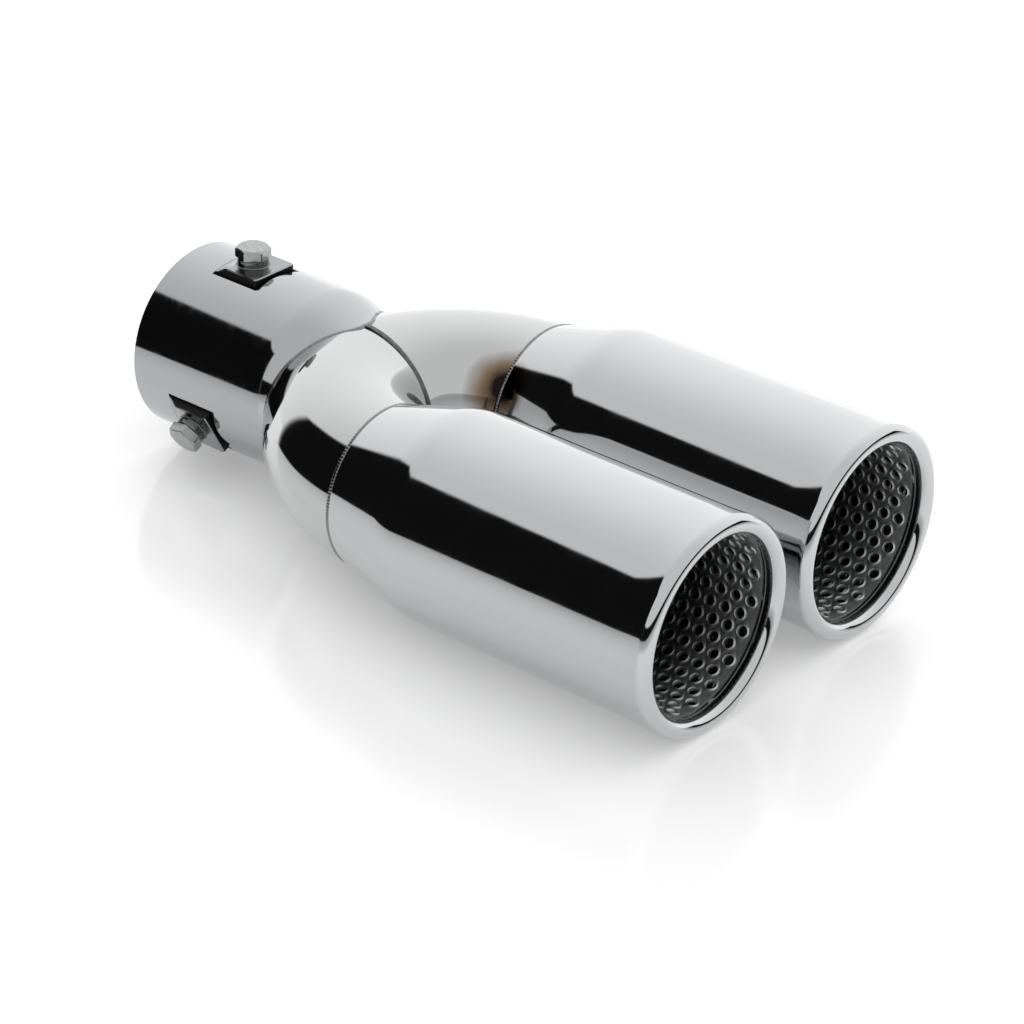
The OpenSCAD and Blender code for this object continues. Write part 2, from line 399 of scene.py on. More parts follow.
@dataclass(frozen=True)
class BlackenedSteel:
    """Perforated mild steel, blackened under a glossy clear film: painted shade deep inside, painted light
    grey behind the lip.
    """

    name: str = "black_oxide_steel"
    steel: str = "CFD1D0"
    shade: str = "5A5D5C"
    roughness: float = 0.46
    film: float = 1.0
    film_roughness: float = 0.08
    # Painted shade ends and painted light begins between these two places along X.
    painted_shade_x: tuple[float, float] = (232.0, 256.0)
    grain_mm: float = 2.2
    grain_deep_mm: float = 0.1

    def build(self) -> bpy.types.Material:
        """Makes the node tree.

        The colour runs from shade to steel with the distance along X, between the field's two places, and a
        grain shifts it a little either way. The dark colour deep in the tube is painted shade and the grey
        near the mouth is painted light.

        Returns:
            The material.
        """
        metal = MetalNodes(self.name)
        metal.shader.inputs["Coat Weight"].default_value = self.film
        metal.shader.inputs["Coat Roughness"].default_value = self.film_roughness
        grain = metal.noise(self.grain_mm, 3.0)
        rough = metal.ranged(grain, (0.0, 1.0), (self.roughness - 0.08, self.roughness + 0.14))
        metal.feed("Roughness", rough)
        axes = add(metal.tree, "ShaderNodeSeparateXYZ", None, {0: metal.place})
        # Painted shade deep in the tube, painted light towards the mouth.
        painted_light_share = metal.ranged(axes.outputs["X"], (self.painted_shade_x[0] * MM, self.painted_shade_x[1] * MM), (-0.15, 0.8))
        share = maths(metal.tree, "MULTIPLY_ADD", grain, 0.35, painted_light_share)
        metal.stain(share, (0.0, self.shade), (1.0, self.steel))
        metal.dent(grain, 0.3, self.grain_deep_mm)
        return metal.material


@dataclass(frozen=True)
class BoltSteel:
    """Cold headed plain stainless: satin flanks with a fine drawn grain and bright edges."""

    name: str = "headed_stainless"
    steel: str = "AEB2B0"
    shade: str = "868A88"
    roughness: float = 0.13
    grain_mm: float = 1.5
    grain_deep_mm: float = 0.05

    def build(self) -> bpy.types.Material:
        """Makes the node tree.

        Returns:
            The material.
        """
        metal = MetalNodes(self.name)
        grain = metal.noise(self.grain_mm, 4.0)
        rough = metal.ranged(grain, (0.0, 1.0), (self.roughness - 0.05, self.roughness + 0.12))
        metal.feed("Roughness", rough)
        metal.stain(grain, (0.0, self.shade), (1.0, self.steel))
        metal.dent(grain, 0.15, self.grain_deep_mm)
        return metal.material


class Metal(Enum):
    """The metals of the tip, each with the finish that makes it."""

    BARREL = MirrorStainless()
    BRANCH = MirrorStainless(name="heat_tinted_stainless", steel="BFC0C0", tint_reach=15.0, core=0.25)
    SLEEVE = SleeveStainless()
    TONGUE = SleeveStainless(name="lanced_tongue_stainless", steel="96989A", roughness=0.2)
    WELD = WeldMetal()
    SADDLE = WeldMetal(name="saddle_weld_metal", metal="77787A", shade="3C3B3A", roughness=0.28)
    LINER = BlackenedSteel()
    BOLT = BoltSteel()
    # The nut is a darker copy of the bolt's steel: painted shade under the head and painted reflection of the
    # dark surroundings.
    NUT = BoltSteel(name="welded_nut_steel_painted_shade", steel="7C7F7E", shade="505352")

    @property
    def material(self) -> bpy.types.Material:
        """The metal's material, made on its first use."""
        return bpy.data.materials.get(self.value.name) or self.value.build()


def finish_piece(piece: bpy.types.Object, metal: Metal, slot: str, *nodes: str) -> None:
    """Gives a new piece its material and body, and hides the CAD nodes that it stands for.

    Args:
        piece: The new object.
        metal: Its finish.
        slot: The record's material slot; not used.
        *nodes: CAD nodes that it replaces.
    """
    piece.data.materials.append(metal.material)
    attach(piece, "root")
    if nodes:
        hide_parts(*nodes)
    LOG.info("%s: %d faces, in place of %s", piece.name, len(piece.data.polygons), ", ".join(nodes) or "none")


@dataclass(frozen=True)
class Body:
    """Sizes that several sub-assemblies share, as the part's source works them out."""

    sleeve_ir: float = 32.15
    sleeve_wall: float = 1.8
    bore_l: float = 57.5
    branch_r: float = 28.6
    branch_wall: float = 1.5
    bend_r: float = 57.0
    bend_short_deg: float = 8.0
    outlet_y: float = 41.5
    root_inset: float = 3.0
    root_reach: float = 29.9
    tongue_top: float = 35.2
    bolt_x: float = 25.55
    weld_w: float = 1.0

    @property
    def root_x(self) -> float:
        """Where the branches begin."""
        return self.bore_l + self.root_inset

    @property
    def bend_y(self) -> float:
        """Bend centre of the left branch, on the other side of the middle plane."""
        return self.outlet_y - self.bend_r * np.cos(np.radians(self.bend_short_deg))

    @property
    def bend_x(self) -> float:
        """Bend centre along X."""
        reach = self.bend_r + self.branch_r
        return self.root_x + np.sqrt(reach ** 2 - (self.root_reach - self.bend_y) ** 2)

    @property
    def neck_x(self) -> float:
        """The plane of the neck welds."""
        return self.bend_x - self.bend_r * np.sin(np.radians(self.bend_short_deg))

    @property
    def throat_end_x(self) -> float:
        """Where the crowns of the branches meet on the middle plane."""
        return self.bend_x - np.sqrt(self.bend_r ** 2 - self.bend_y ** 2)

    @property
    def sleeve_or(self) -> float:
        """Outer radius of the sleeve."""
        return self.sleeve_ir + self.sleeve_wall

    def depth_in_branch(self, points: np.ndarray) -> np.ndarray:
        """Distance from the nearer branch's centreline: the tube's circle in its turn round the bend.

        Args:
            points: Any shape by 3.

        Returns:
            The distance, less than branch_r inside the tube.
        """
        reach = np.hypot(points[..., 0] - self.bend_x, np.abs(points[..., 1]) - self.bend_y)
        return np.hypot(reach - self.bend_r, points[..., 2])


@dataclass
class Barrel:
    """One outlet barrel: cone neck, shoulder, cylinder and rolled lip, as one turned sheet."""

    side: Side
    body: Body = Body()
    radius: float = 36.7
    wall: float = 1.2
    neck_l: float = 29.0
    shoulder_r: float = 32.0
    lip_r: float = 37.3
    roll_r: float = 3.3
    roll_l: float = 3.4
    roll_x: float = 134.2
    flare_meet_deg: float = 97.0
    curl_deg: float = -150.0
    steps: int = 256

    def wall_line(self, depth: float, count: int = 14) -> np.ndarray:
        """Points (x, r) of the wall from the neck weld to the roll.

        The cone rises by the neck's slope, an arc of the shoulder's radius leads it into the cylinder, and a
        face that lies depth inside has its arc shortened by depth.

        Args:
            depth: How far inside the outer face.
            count: Points on the arc.

        Returns:
            N by 2, x from the neck weld.
        """
        slope = np.arctan((self.radius - self.body.branch_r) / self.neck_l)
        half = self.body.weld_w / 2
        a = slope * (1 - np.linspace(0, 1, count))
        arc_r = self.shoulder_r - depth
        arc = np.stack([self.neck_l + self.shoulder_r * np.tan(slope / 2) - arc_r * np.sin(a),
                        self.radius - self.shoulder_r + arc_r * np.cos(a)], -1)
        start = np.array([[half, self.body.branch_r - depth / np.cos(slope) + half * np.tan(slope)]])
        cone = start + (arc[:1] - start) * np.linspace(0, 1, 6)[:-1, None]
        return np.concatenate([cone, arc])

    def roll_line(self, depth: float, first_deg: float, last_deg: float, count: int) -> np.ndarray:
        """Points (x, r) on the oval of the rolled lip.

        At an angle a, x is the roll's centre plus its length times cos a, and r its axis plus its half width
        times sin a.

        Args:
            depth: How far inside the oval's outer face.
            first_deg: First angle.
            last_deg: Last angle.
            count: Points.

        Returns:
            Count by 2.
        """
        a = np.radians(np.linspace(first_deg, last_deg, count))
        x = self.roll_x + (self.roll_l - depth) * np.cos(a)
        return np.stack([x, self.lip_r - self.roll_r + (self.roll_r - depth) * np.sin(a)], -1)

    def flare_line(self, depth: float, count: int = 16) -> np.ndarray:
        """Points (x, r) of the slight flare into the roll: the radius rises with the square of the way.

        Args:
            depth: How far inside the outer face.
            count: Points.

        Returns:
            Count by 2.
        """
        t = np.radians(self.flare_meet_deg)
        slope = np.arctan(-self.roll_r * np.cos(t) / (self.roll_l * np.sin(t)))
        end_x = self.roll_x + self.roll_l * np.cos(t)
        rise = self.lip_r - self.roll_r + self.roll_r * np.sin(t) - self.radius
        u = np.linspace(0, 1, count)
        x = end_x + rise / np.tan(slope / 2) * (u - 1)
        return np.stack([x, self.radius - depth + rise * u ** 2], -1)

    def profile(self) -> np.ndarray:
        """The closed outline: out along the outer face, round the lip, and back along the inner face."""
        start = self.flare_meet_deg - 2.0
        outer = [self.wall_line(0), self.flare_line(0), self.roll_line(0, start, self.curl_deg, 72)]
        inner = [self.wall_line(self.wall), self.flare_line(self.wall),
                 self.roll_line(self.wall, start, self.curl_deg, 36)]
        return np.concatenate([*outer, np.concatenate(inner)[::-1]])

    def build(self) -> None:
        """Makes the barrel."""
        profile = self.profile() + np.array([self.body.neck_x, 0.0])
        points = revolve(profile, self.steps) + np.array([0.0, self.side.value * self.body.outlet_y, 0.0])
        piece = make_mesh(f"{self.side.word}_barrel_shell", points, grid_quads(self.steps, len(profile)))
        finish_piece(piece, Metal.BARREL, "polished", f"{self.side.word}_barrel")


@dataclass
class Branch:
    """One tight elbow, cut on the middle plane, at the root plane and at the neck weld."""

    side: Side
    body: Body = Body()
    around: int = 192
    along: int = 72

    def skin(self, radius: float) -> np.ndarray:
        """Points of the tube's face at a radius, cut by the three planes.

        At a tube angle t the face runs on a circle of bend_r + radius cos t about the bend's centre, at a
        height of radius sin t. A heading h from the neck gives x = bend_x - circle sin h and
        y = bend_y + circle cos h, and h runs from where x is the neck plane to the sooner of y = 0 and
        x = the root plane.

        Args:
            radius: Radius of the face.

        Returns:
            Around by along by 3, for the left side.
        """
        b = self.body
        t = turns(self.around)
        circle = b.bend_r + radius * np.cos(t)
        first = np.arcsin((b.bend_x - b.neck_x + b.weld_w / 2) / circle)
        middle = np.arccos(-b.bend_y / circle)
        root = np.arcsin(np.minimum((b.bend_x - b.root_x) / circle, 1.0))
        last = np.minimum(middle, root)
        h = first[:, None] + (last - first)[:, None] * np.linspace(0, 1, self.along)[None, :]
        x = b.bend_x - circle[:, None] * np.sin(h)
        y = b.bend_y + circle[:, None] * np.cos(h)
        return points_at(x, y, (radius * np.sin(t))[:, None])

    def build(self) -> None:
        """Makes the elbow."""
        outer = self.skin(self.body.branch_r)
        inner = self.skin(self.body.branch_r - self.body.branch_wall)[:, ::-1]
        points = np.concatenate([outer, inner], 1) * np.array([1.0, self.side.value, 1.0])
        quads = grid_quads(self.around, 2 * self.along)
        if self.side is Side.LEFT:
            quads = quads[:, ::-1]
        piece = make_mesh(f"{self.side.word}_branch_bend", points.reshape(-1, 3), quads)
        finish_piece(piece, Metal.BRANCH, "polished", f"{self.side.word}_branch")


@dataclass
class NeckWeld:
    """The butt weld between a branch and its barrel: a ground-down bead that still shows its ripples."""

    side: Side
    body: Body = Body()
    bead_h: float = 0.3
    reach: float = 0.3
    ripple_mm: float = 1.1
    ripple_share: float = 0.35
    crescent: float = 1.4
    samples_per_ripple: int = 8

    def build(self) -> None:
        """Makes the weld ring.

        The bead's height over the tube is that of an ellipse across its width, times one less a share that
        rises and falls along the seam, and the fall trails behind towards the bead's edges as a weld pool
        leaves it.
        """
        b = self.body
        count = int(TURN * b.branch_r / self.ripple_mm)
        turn = turns(count * self.samples_per_ripple)[:, None]
        across = np.linspace(-1, 1, 13)
        phase = count * turn - self.crescent * across ** 2
        swell = 1 - self.ripple_share * (0.5 + 0.5 * np.cos(phase))
        crown = b.branch_r + self.bead_h * np.sqrt(1 - across ** 2) * swell
        floor = np.full((len(turn), 3), b.branch_r - b.branch_wall)
        radius = np.concatenate([crown, floor], 1)
        half = b.weld_w / 2
        x = b.neck_x + np.concatenate([across * (half + self.reach), [half, 0.0, -half]])
        y = self.side.value * b.outlet_y + radius * np.cos(turn)
        points = points_at(x, y, radius * np.sin(turn)).reshape(-1, 3)
        piece = make_mesh(f"{self.side.word}_neck_bead", points, grid_quads(len(turn), len(x)), 50.0)
        finish_piece(piece, Metal.WELD, "weld", f"{self.side.word}_neck_weld")


@dataclass
class Liner:
    """One perforated liner: staggered rings of punched holes with raised burrs, full depth of the barrel."""

    side: Side
    body: Body = Body()
    inner_r: float = 31.0
    wall: float = 1.0
    hole_r: float = 1.75
    burr_w: float = 0.75
    burr_h: float = 0.42
    around: int = 19
    corners: int = 4
    front_x: float = 130.95
    back_x: float = 17.31
    margin: float = 1.26
    phase_deg: float = 16.174
    clamp: float = 0.04

    @property
    def half_turn(self) -> float:
        """Half the angle between two holes of a ring."""
        return np.pi / self.around

    @property
    def middle_r(self) -> float:
        """Radius of the sheet's middle."""
        return self.inner_r + self.wall / 2

    @property
    def step(self) -> float:
        """Distance between rings, which sets the holes at equal distances."""
        return self.half_turn * self.middle_r / np.sqrt(3)

    def cell_rings(self) -> list[tuple[np.ndarray, float]]:
        """One hole's cell as rings of (angle, x) offsets and the depth of each below the inner face.

        The cell is a diamond, half a hole's spacing wide and one ring step long either way, cut evenly along
        its sides. Inside it lie the burr's foot, its crest, its lip over the hole, the hole's edge on the
        outer face, and the diamond again.

        Returns:
            Ring and depth, from the inner face to the outer.
        """
        t = np.arange(self.corners) / self.corners
        u = np.concatenate([1 - t, -t, t - 1, t]) * self.half_turn
        v = np.concatenate([t, 1 - t, -t, t - 1]) * self.step
        diamond = np.stack([u, v], -1)
        a = turns(4 * self.corners)
        circle = np.stack([np.cos(a) / self.middle_r, np.sin(a)], -1)
        shares = (1.0, 0.4, 0.08, 0.0)
        foot, crest, lip, hole = [circle * (self.hole_r + share * self.burr_w) for share in shares]
        return [(diamond, 0.0), (foot, 0.0), (crest, -self.burr_h), (lip, -0.5 * self.burr_h),
                (hole, self.wall), (diamond, self.wall)]

    def centres(self) -> np.ndarray:
        """The holes' centres as (angle, x), from the mouth, every other ring half a spacing round."""
        land = self.hole_r + self.margin
        rings = int((self.front_x - self.back_x - 2 * land) / self.step) + 1
        j, i = np.meshgrid(np.arange(rings), np.arange(self.around), indexing="ij")
        angle = np.radians(self.phase_deg) + (2 * i + j % 2) * self.half_turn
        return np.stack([angle, self.front_x - land - j * self.step], -1).reshape(-1, 2)

    def wrap(self, angle: np.ndarray, x: np.ndarray, depth: np.ndarray) -> np.ndarray:
        """Rolls (angle, x, depth) to points: the radius is the inner face's plus the depth.

        Args:
            angle: Angle from the axis' down side, as the source turns its holes.
            x: Distance from the neck weld.
            depth: Depth below the inner face.

        Returns:
            Points, for this side.
        """
        r = self.inner_r + depth
        y = self.body.outlet_y + r * np.sin(angle)
        return points_at(self.body.neck_x + x, y * self.side.value, -r * np.cos(angle))

    def end_band(self, line: np.ndarray, edge: float) -> tuple[np.ndarray, np.ndarray]:
        """The plain band between the cells' zigzag and an edge of the tube, over both faces.

        Args:
            line: N by 2, the zigzag as (angle, x) once round.
            edge: The tube's edge.

        Returns:
            Points and quads.
        """
        n = len(line)
        angle = np.concatenate([line[:, 0]] * 4)
        x = np.concatenate([line[:, 1], np.full(2 * n, edge), line[:, 1]])
        depth = np.repeat([0.0, 0.0, self.wall, self.wall], n)
        return self.wrap(angle, x, depth), grid_quads(4, n, close_rows=False)

    def build(self) -> None:
        """Makes the liner from its cells and its two end bands."""
        centres = self.centres()
        rings = self.cell_rings()
        low, high = self.back_x + self.clamp, self.front_x - self.clamp
        cell = np.stack([ring for ring, _ in rings])
        at = centres[:, None, None, :] + cell[None]
        x = np.clip(at[..., 1], low, high)
        depth = np.array([d for _, d in rings])[:, None]
        per_cell = cell.shape[0] * cell.shape[1]
        quads = (np.arange(len(centres))[:, None, None] * per_cell
                 + grid_quads(cell.shape[0], cell.shape[1], close_rows=False)[None]).reshape(-1, 4)
        parts = [(self.wrap(at[..., 0], x, depth).reshape(-1, 3), quads)]
        diamond = rings[0][0]
        half = len(diamond) // 2
        ends = ((diamond[half:0:-1], centres[:self.around], self.front_x, 1),
                (diamond[half:], centres[-self.around:], self.back_x, -1))
        for zigzag, ring, edge, order in ends:
            line = (ring[:, None, :] + zigzag[None]).reshape(-1, 2)
            line[:, 1] = np.clip(line[:, 1], low, high)
            band, band_quads = self.end_band(line, edge)
            parts.append((band, band_quads[:, ::order]))
        offsets = np.cumsum([0] + [len(p) for p, _ in parts[:-1]])
        quads = np.concatenate([q + o for (_, q), o in zip(parts, offsets)])
        points, quads = merged(np.concatenate([p for p, _ in parts]), quads)
        piece = make_mesh(f"{self.side.word}_liner_sheet", points, quads[:, ::self.side.value], 66.0)
        finish_piece(piece, Metal.LINER, "liner", f"{self.side.word}_liner")


@dataclass
class InletSleeve:
    """The clamp sleeve: a tube with three lanced windows, drawn to a throat trimmed over the elbows."""

    body: Body = Body()
    taper_x: float = 57.0
    throat_r: float = 29.0
    throat_ir: float = 28.65
    window_x: float = 16.4
    window_end_x: float = 37.2
    window_deg: float = 19.0
    clamp_deg: tuple[float, ...] = (0.0, 120.0, 240.0)
    straight_x: float = 52.0
    around: int = 360
    edge: float = 0.3
    fit: float = 0.05
    bead_r: float = 1.2
    bead_sunk: float = 0.8
    bead_back: float = 0.15
    bead_sides: int = 12
    bead_ease: int = 5
    ripple_mm: float = 1.3
    ripple_share: float = 0.15

    def radius(self, x: np.ndarray, layer: int) -> np.ndarray:
        """Radius of a skin: level along the bore, then eased down to the throat by a smooth step.

        Args:
            x: Distance from the mouth.
            layer: 0 for the outer skin, 1 for the bore.

        Returns:
            The radius at each x.
        """
        b = self.body
        first, last = ((b.sleeve_or, self.throat_r), (b.sleeve_ir, self.throat_ir))[layer]
        return first + (last - first) * ease((x - self.taper_x) / (b.throat_end_x - self.taper_x))

    def skin(self, turn: np.ndarray, x: np.ndarray, layer: int) -> np.ndarray:
        """Points of a skin at turns from the top, towards +Y, and at distances from the mouth."""
        r = self.radius(x, layer)
        return points_at(x, r * np.sin(turn), r * np.cos(turn))

    def trim(self, layer: int, samples: int = 1200) -> np.ndarray:
        """Where a skin runs into a branch at each turn, or the end of the throat where it doesn't.

        The distance to the branch's centreline is sampled along X, and the first sample inside the tube gives
        the place by straight interpolation from the one before.

        Args:
            layer: 0 for the outer skin, 1 for the bore.
            samples: Steps along X.

        Returns:
            X at each of the sleeve's columns.
        """
        x = np.linspace(self.straight_x, self.body.throat_end_x, samples)
        deep = self.body.depth_in_branch(self.skin(turns(self.around)[:, None], x, layer))
        limit = self.body.branch_r + self.fit
        inside = deep < limit
        first = np.where(inside.any(1), inside.argmax(1), samples - 1)
        column = np.arange(self.around)
        before, after = deep[column, first - 1], deep[column, first]
        share = np.clip((before - limit) / np.maximum(before - after, 1e-9), 0, 1)
        return x[first - 1] + (x[first] - x[first - 1]) * np.where(inside.any(1), share, 1.0)

    def build(self) -> None:
        """Makes the shell as a grid of rows along X and columns round it, without the windows' cells.

        Every border between a kept cell and a missing one gets a wall from the outer skin to the bore.
        """
        n = self.around
        turn = turns(n)
        bore = np.concatenate([[0.0, self.edge], np.linspace(2, self.window_x, 8), np.linspace(20, 34, 8),
                               [self.window_end_x], np.linspace(40, self.straight_x, 6)])
        share = np.linspace(0, 1, 49)[1:]
        layers = []
        for layer in (0, 1):
            drawn = self.straight_x + (self.trim(layer)[None, :] - self.straight_x) * share[:, None]
            x = np.concatenate([np.broadcast_to(bore[:, None], (len(bore), n)), drawn])
            layers.append(self.skin(turn[None, :], x, layer))
        layers[0][0, :, 1:] *= 1 - self.edge / self.body.sleeve_or
        rows = len(layers[0])
        middle = np.degrees(turn) + 180 / n
        away = [np.abs((middle - c + 180) % 360 - 180) for c in self.clamp_deg]
        cut_column = np.min(away, 0) < self.window_deg
        middle_x = 0.5 * (bore[1:] + bore[:-1])
        cut_row = np.zeros(rows - 1, bool)
        cut_row[:len(middle_x)] = (middle_x > self.window_x) & (middle_x < self.window_end_x)
        quads = self.cells(~(cut_row[:, None] & cut_column[None, :]), n)
        points = np.stack(layers, 2).reshape(-1, 3)
        used, number = np.unique(quads, return_inverse=True)
        piece = make_mesh("inlet_sleeve_shell", points[used], number.reshape(-1, 4))
        finish_piece(piece, Metal.SLEEVE, "polished", "inlet_sleeve")

    def cells(self, solid: np.ndarray, n: int) -> np.ndarray:
        """Quads of both skins over the kept cells, with the walls round every border.

        Args:
            solid: Which cells are kept, rows less one by columns.
            n: Columns of points.

        Returns:
            Four point numbers a quad, the outer skin's points even and the bore's odd.
        """
        r, c = np.nonzero(solid)
        a, b = (r * n + c) * 2, (r * n + (c + 1) % n) * 2
        a2, b2 = a + 2 * n, b + 2 * n
        parts = [np.stack([a, a2, b2, b], -1), np.stack([a, b, b2, a2], -1) + 1]
        padded = np.concatenate([np.zeros((1, n), bool), solid, np.zeros((1, n), bool)])
        before = np.roll(solid, 1, axis=1)
        for order in (1, -1):
            here, there = (padded[1:], padded[:-1])[::order]
            r, c = np.nonzero(here & ~there)
            a, b = (r * n + c) * 2, (r * n + (c + 1) % n) * 2
            parts.append(np.stack([a, b, b + 1, a + 1], -1)[:, ::order])
            here, there = (solid, before)[::order]
            r, c = np.nonzero(here & ~there)
            a = (r * n + c) * 2
            parts.append(np.stack([a, a + 1, a + 1 + 2 * n, a + 2 * n], -1)[:, ::order])
        return np.concatenate(parts)

    def bead(self) -> None:
        """Makes the ground weld that follows the trimmed edge over both elbows.

        A circle is swept along the edge, its radius less a little that rises and falls along the seam, its
        middle sunk under the edge. The edge is first eased by averaging each place with its neighbours.
        """
        turn = turns(self.around)
        near = range(-self.bead_ease, self.bead_ease + 1)
        edge_x = np.mean([np.roll(self.trim(0), k) for k in near], 0)
        line = self.skin(turn, edge_x, 0) - np.array([self.bead_back, 0.0, 0.0])
        way = np.roll(line, -1, 0) - np.roll(line, 1, 0)
        way /= np.linalg.norm(way, axis=1, keepdims=True)
        out = np.stack([np.zeros_like(turn), np.sin(turn), np.cos(turn)], -1)
        out -= way * (out * way).sum(1, keepdims=True)
        out /= np.linalg.norm(out, axis=1, keepdims=True)
        side = np.cross(way, out)
        length = np.cumsum(np.linalg.norm(np.roll(line, -1, 0) - line, axis=1))
        phase = TURN * np.round(length[-1] / self.ripple_mm) * length / length[-1]
        swell = self.bead_r * (1 - self.ripple_share * (0.5 + 0.5 * np.cos(phase)))
        a = turns(self.bead_sides)[None, :, None]
        circle = np.cos(a) * out[:, None, :] + np.sin(a) * side[:, None, :]
        points = (line - out * self.bead_sunk)[:, None, :] + swell[:, None, None] * circle
        quads = grid_quads(self.around, self.bead_sides)[:, ::-1]
        piece = make_mesh("throat_bead", points.reshape(-1, 3), quads, 60.0)
        finish_piece(piece, Metal.WELD, "weld", "throat_weld")


@dataclass
class Tongue:
    """One lanced tongue, lifted off the sleeve and turned down along its free edges, with its bolt hole."""

    name: str
    turn_deg: float
    body: Body = Body()
    half_l: float = 10.45
    half_w: float = 9.8
    corner_power: float = 24.0
    hole_r: float = 3.5
    rise_x: float = 16.2
    rise_l: float = 6.0
    root_sunk: float = 0.05
    flange_t: float = 1.2
    flange_least: float = 0.05
    edge_r: float = 0.35
    clear: float = 0.25
    rays: int = 200

    def top(self, x: np.ndarray, y: np.ndarray) -> np.ndarray:
        """Height of the upper face: from the sleeve's own skin at the root, by a smooth step, to level."""
        share = ease((x - self.rise_x) / self.rise_l)
        root = np.sqrt(self.body.sleeve_or ** 2 - y ** 2) - self.root_sunk
        return (1 - share) * root + share * self.body.tongue_top

    def build(self) -> None:
        """Makes the plate from rays between the bolt hole and a rectangle with rounded corners.

        Along a ray the section runs over the upper face, round the edge, down the flange, back under it and
        along the lower face to the hole.
        """
        t = turns(self.rays)
        p = self.corner_power
        edge = (np.abs(np.cos(t) / self.half_l) ** p + np.abs(np.sin(t) / self.half_w) ** p) ** (-1 / p)
        crown = edge - self.edge_r
        inner = edge - self.flange_t
        section = [(self.hole_r + (crown - self.hole_r) * q, "upper") for q in np.linspace(0, 1, 12)]
        section += [(edge, "edge"), (edge, "low"), (inner, "low"), (inner, "under")]
        section += [(self.hole_r + (inner - self.hole_r) * q, "under") for q in (0.66, 0.33, 0.0)]
        rows = []
        for r, face in section:
            x, y = self.body.bolt_x + r * np.cos(t), r * np.sin(t)
            upper = self.top(x, y)
            under = upper - self.body.sleeve_wall
            bore = np.sqrt(self.body.sleeve_ir ** 2 - y ** 2) + self.clear
            height = {"upper": upper, "edge": upper - self.edge_r, "under": under,
                      "low": np.minimum(bore, under - self.flange_least)}
            rows.append(points_at(x, y, height[face]))
        points = turned(np.concatenate(rows), self.turn_deg)
        piece = make_mesh(f"{self.name}_tongue_plate", points, grid_quads(len(rows), self.rays))
        finish_piece(piece, Metal.TONGUE, "polished")


@dataclass
class ClampBolt:
    """Hex head bolt with a turned chamfer and softened corners, in its round weld nut."""

    name: str
    turn_deg: float
    spin_deg: float
    body: Body = Body()
    thread_r: float = 3.2
    head_af: float = 11.1
    head_h: float = 3.8
    nut_r: float = 5.5
    nut_h: float = 2.8
    shoulder_r: float = 0.5
    foot_r: float = 0.6
    thread_gap: float = 0.1
    chamfer_deg: float = 28.0
    chamfer_share: float = 0.95
    corner_power: float = 56.0
    edge: float = 0.12
    seat_cut: float = 0.25
    tip_cut: float = 0.5
    core_r: float = 0.02
    columns: int = 144
    nut_columns: int = 96

    def place(self, points: np.ndarray) -> np.ndarray:
        """Carries points from the bolt's own axes, Z away from the sleeve's axis, to the clamp's place."""
        return turned(points + np.array([self.body.bolt_x, 0.0, 0.0]), self.turn_deg)

    def hexagon(self, turn: np.ndarray) -> np.ndarray:
        """Radius of the head's outline: a hexagon whose corners a soft minimum rounds.

        Args:
            turn: Angles, a corner at zero.

        Returns:
            The radius at each.
        """
        flats = (np.arange(6) + 0.5) * TURN / 6
        near = np.maximum(np.cos(turn[:, None] - flats[None, :]), 1e-6)
        return self.head_af / 2 / (near ** self.corner_power).sum(1) ** (1 / self.corner_power)

    def bolt(self) -> None:
        """Makes the bolt, its head's top face turned down at the corners by a cone."""
        turn = turns(self.columns)
        outline = self.hexagon(turn)
        turn = turn + np.radians(self.spin_deg)
        seat = self.body.tongue_top + self.nut_h
        chamfer_r = self.chamfer_share * self.head_af / 2
        slope = np.tan(np.radians(self.chamfer_deg))
        share = np.array([0.02, 0.5, 0.8, 0.86, 0.9, 0.94, 0.97, 1.0])
        face_r = share[:, None] * outline[None, :]
        face_z = seat + self.head_h - slope * np.maximum(face_r - chamfer_r, 0)
        face_r[-1] -= self.edge
        rim = face_z[-1]
        tip = self.body.sleeve_ir
        rows = [*zip(face_r, face_z), (outline, rim - self.edge), (outline, 0.5 * (rim + seat)),
                (outline, seat + self.seat_cut), (outline - self.seat_cut, seat), (self.thread_r, seat),
                (self.thread_r, tip + self.tip_cut), (self.thread_r - self.tip_cut, tip), (self.core_r, tip)]
        rings = [points_at(r * np.cos(turn), r * np.sin(turn), z) for r, z in rows]
        quads = grid_quads(len(rows), self.columns)
        piece = make_mesh(f"{self.name}_bolt_turned", self.place(np.concatenate(rings)), quads, 24.0)
        finish_piece(piece, Metal.BOLT, "fastener", f"{self.name}_bolt")

    def nut(self) -> None:
        """Makes the weld nut: a ring with a rounded shoulder and a foot that flares into the tongue."""
        low = self.body.tongue_top
        high = low + self.nut_h
        a = np.radians(np.linspace(0, 90, 7))
        shoulder = np.stack([self.nut_r - self.shoulder_r * (1 - np.sin(a)),
                             high - self.shoulder_r * (1 - np.cos(a))], -1)
        foot = np.stack([self.nut_r + self.foot_r * (1 - np.cos(a)), low + self.foot_r * (1 - np.sin(a))], -1)
        bore = self.thread_r + self.thread_gap
        profile = np.concatenate([[[bore, low], [bore, high]], shoulder, foot])
        ring = revolve(profile[:, ::-1], self.nut_columns)
        quads = grid_quads(self.nut_columns, len(profile))[:, ::-1]
        piece = make_mesh(f"{self.name}_weld_nut", self.place(ring[:, [1, 2, 0]]), quads, 40.0)
        finish_piece(piece, Metal.NUT, "fastener", f"{self.name}_nut")


